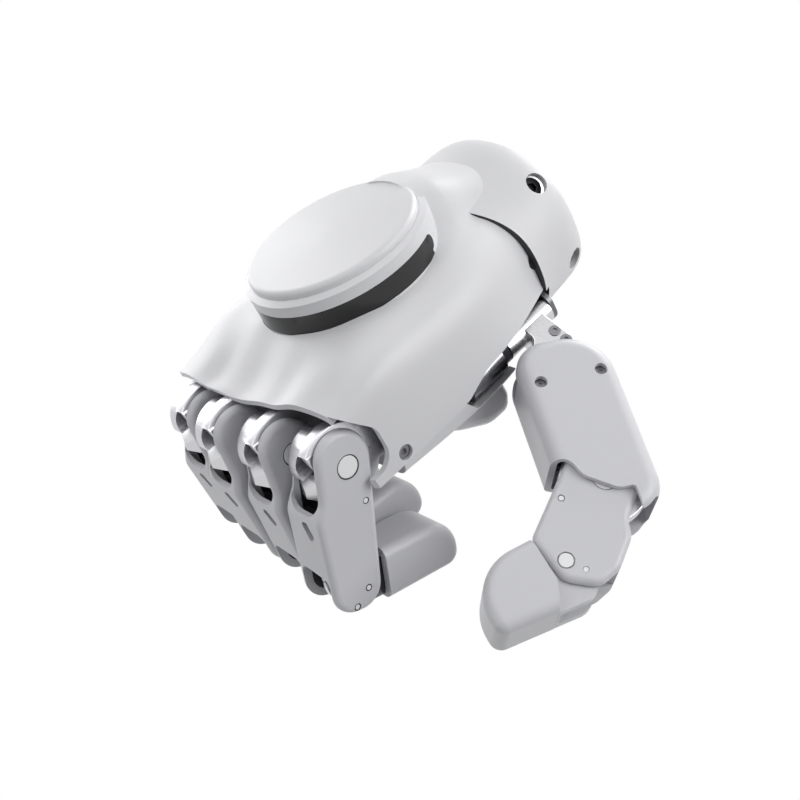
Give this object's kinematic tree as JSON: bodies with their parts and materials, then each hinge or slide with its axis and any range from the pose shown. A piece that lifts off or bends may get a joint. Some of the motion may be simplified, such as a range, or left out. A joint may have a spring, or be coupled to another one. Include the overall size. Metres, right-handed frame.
{
  "type": "dexterous robot hand",
  "caption": "Right robot hand with hinged fingers and thumb, a shell over the palm, a round cap on its back and a flanged wrist cuff.",
  "frame": {"origin": "centre of the wrist end face", "axes": "+X from the wrist to the knuckles, +Y to the thumb side, +Z out of the back of the hand"},
  "size_m": [0.1254, 0.1276, 0.0941],
  "materials": {
    "casing": "satin moulded light grey",
    "cap_casing": "satin moulded light grey",
    "light_band": "gloss, nearly black",
    "machined_aluminium": "fine machined",
    "screws": "turned steel",
    "inner_frame": "bead blasted grey",
    "motors": "drawn steel cans",
    "board": "solder mask green",
    "dark_plastic": "matt black",
    "grip_pad": "smooth light grey",
    "knuckles": "bright polished",
    "stops": "satin silver",
    "pins": "light caps on steel pins",
    "links": "bright",
    "tip_frames": "dark satin"
  },
  "bodies": {
    "palm": {"back_shell": "casing", "board_pegs": "inner_frame", "control_board": "board", "cuff_screws": "screws", "disc_base": "cap_casing", "disc_cap": "cap_casing", "finger_motors": "motors", "index_knuckle": "knuckles", "index_stop": "stops", "knuckle_screws": "screws", "light_band": "light_band", "little_knuckle": "knuckles", "little_stop": "stops", "middle_knuckle": "knuckles", "middle_stop": "stops", "palm_cover": "casing", "palm_frame": "inner_frame", "palm_pad": "grip_pad", "ring_knuckle": "knuckles", "ring_stop": "stops", "side_screws": "screws", "thumb_motor": "motors", "wrist_connector": "dark_plastic", "wrist_flange": "machined_aluminium"},
    "thumb_bracket": {"bracket_screws": "screws", "thumb_bracket": "machined_aluminium"},
    "index_link": {"index_link": "links"},
    "index_finger": {"index_pins": "pins", "index_proximal": "casing"},
    "index_tip": {"index_tip_cover": "casing", "index_tip_frame": "tip_frames"},
    "little_link": {"little_link": "links"},
    "little_finger": {"little_pins": "pins", "little_proximal": "casing"},
    "little_tip": {"little_tip_cover": "casing", "little_tip_frame": "tip_frames"},
    "middle_link": {"middle_link": "links"},
    "middle_finger": {"middle_pins": "pins", "middle_proximal": "casing"},
    "middle_tip": {"middle_tip_cover": "casing", "middle_tip_frame": "tip_frames"},
    "ring_link": {"ring_link": "links"},
    "ring_finger": {"ring_pins": "pins", "ring_proximal": "casing"},
    "ring_tip": {"ring_tip_cover": "casing", "ring_tip_frame": "tip_frames"},
    "thumb_base": {"thumb_base_casing": "casing", "thumb_base_frame": "inner_frame", "thumb_base_screws": "screws", "thumb_knuckle": "knuckles", "thumb_swing_pin": "pins"},
    "thumb_link": {"thumb_link": "links"},
    "thumb_finger": {"thumb_pins": "pins", "thumb_proximal": "casing"},
    "thumb_tip": {"thumb_tip_cover": "casing", "thumb_tip_frame": "tip_frames"}
  },
  "joints": [
    {"name": "index_knuckle_joint", "type": "hinge", "parent": "palm", "child": "index_finger", "pos_m": [0.1025, 0.02775, -0.0027], "axis": [0, 1, 0], "range_deg": [-66, 6]},
    {"name": "index_tip_joint", "type": "hinge", "parent": "index_finger", "child": "index_tip", "pos_m": [0.11555, 0.02775, -0.03619], "axis": [0, 1, 0], "range_deg": [-93, 9]},
    {"name": "index_link_slide", "type": "slide", "parent": "index_finger", "child": "index_link", "axis": [0.4067, 0, -0.9135], "range_m": [-0.005, 0.0005]},
    {"name": "middle_knuckle_joint", "type": "hinge", "parent": "palm", "child": "middle_finger", "pos_m": [0.1067, 0.00925, -0.0007], "axis": [0, 1, 0], "range_deg": [-79, 6]},
    {"name": "middle_tip_joint", "type": "hinge", "parent": "middle_finger", "child": "middle_tip", "pos_m": [0.11188, 0.00925, -0.03626], "axis": [0, 1, 0], "range_deg": [-93, 9]},
    {"name": "middle_link_slide", "type": "slide", "parent": "middle_finger", "child": "middle_link", "axis": [0.1908, 0, -0.9816], "range_m": [-0.005, 0.0005]},
    {"name": "ring_knuckle_joint", "type": "hinge", "parent": "palm", "child": "ring_finger", "pos_m": [0.109, -0.00925, 0.001], "axis": [0, 1, 0], "range_deg": [-83, 3]},
    {"name": "ring_tip_joint", "type": "hinge", "parent": "ring_finger", "child": "ring_tip", "pos_m": [0.11169, -0.00925, -0.03484], "axis": [0, 1, 0], "range_deg": [-93, 9]},
    {"name": "ring_link_slide", "type": "slide", "parent": "ring_finger", "child": "ring_link", "axis": [0.1219, 0, -0.9925], "range_m": [-0.005, 0.0005]},
    {"name": "little_knuckle_joint", "type": "hinge", "parent": "palm", "child": "little_finger", "pos_m": [0.1076, -0.02775, 0.0002], "axis": [0, 1, 0], "range_deg": [-84, 4]},
    {"name": "little_tip_joint", "type": "hinge", "parent": "little_finger", "child": "little_tip", "pos_m": [0.10966, -0.02775, -0.03568], "axis": [0, 1, 0], "range_deg": [-93, 9]},
    {"name": "little_link_slide", "type": "slide", "parent": "little_finger", "child": "little_link", "axis": [0.1045, 0, -0.9945], "range_m": [-0.005, 0.0005]},
    {"name": "thumb_turn", "type": "hinge", "parent": "palm", "child": "thumb_bracket", "pos_m": [0.0319, 0.029, -0.015], "axis": [1, 0, 0], "range_deg": [-8, 17]},
    {"name": "thumb_swing", "type": "hinge", "parent": "thumb_bracket", "child": "thumb_base", "pos_m": [0.0359, 0.0415, -0.02399], "axis": [0, -0.5707, -0.8211], "range_deg": [-25, 12]},
    {"name": "thumb_knuckle_joint", "type": "hinge", "parent": "thumb_base", "child": "thumb_finger", "pos_m": [0.05738, 0.06833, -0.04264], "axis": [0, -0.5707, -0.8211], "range_deg": [-38, 2]},
    {"name": "thumb_tip_joint", "type": "hinge", "parent": "thumb_finger", "child": "thumb_tip", "pos_m": [0.08187, 0.07408, -0.04663], "axis": [0, -0.5707, -0.8211], "range_deg": [-39, 5]},
    {"name": "thumb_link_slide", "type": "slide", "parent": "thumb_finger", "child": "thumb_link", "axis": [0.9397, 0.2808, -0.1952], "range_m": [-0.0024, 0.0003]}
  ],
  "couplings": [
    {"joint": "index_tip_joint", "follows": "index_knuckle_joint", "ratio": 1.3939},
    {"joint": "index_link_slide", "follows": "index_knuckle_joint", "m_per_rad": 0.003},
    {"joint": "middle_tip_joint", "follows": "middle_knuckle_joint", "ratio": 1.1646},
    {"joint": "middle_link_slide", "follows": "middle_knuckle_joint", "m_per_rad": 0.003},
    {"joint": "ring_tip_joint", "follows": "ring_knuckle_joint", "ratio": 1.1084},
    {"joint": "ring_link_slide", "follows": "ring_knuckle_joint", "m_per_rad": 0.003},
    {"joint": "little_tip_joint", "follows": "little_knuckle_joint", "ratio": 1.0952},
    {"joint": "little_link_slide", "follows": "little_knuckle_joint", "m_per_rad": 0.003},
    {"joint": "thumb_tip_joint", "follows": "thumb_knuckle_joint", "ratio": 1},
    {"joint": "thumb_link_slide", "follows": "thumb_knuckle_joint", "m_per_rad": 0.003}
  ]
}
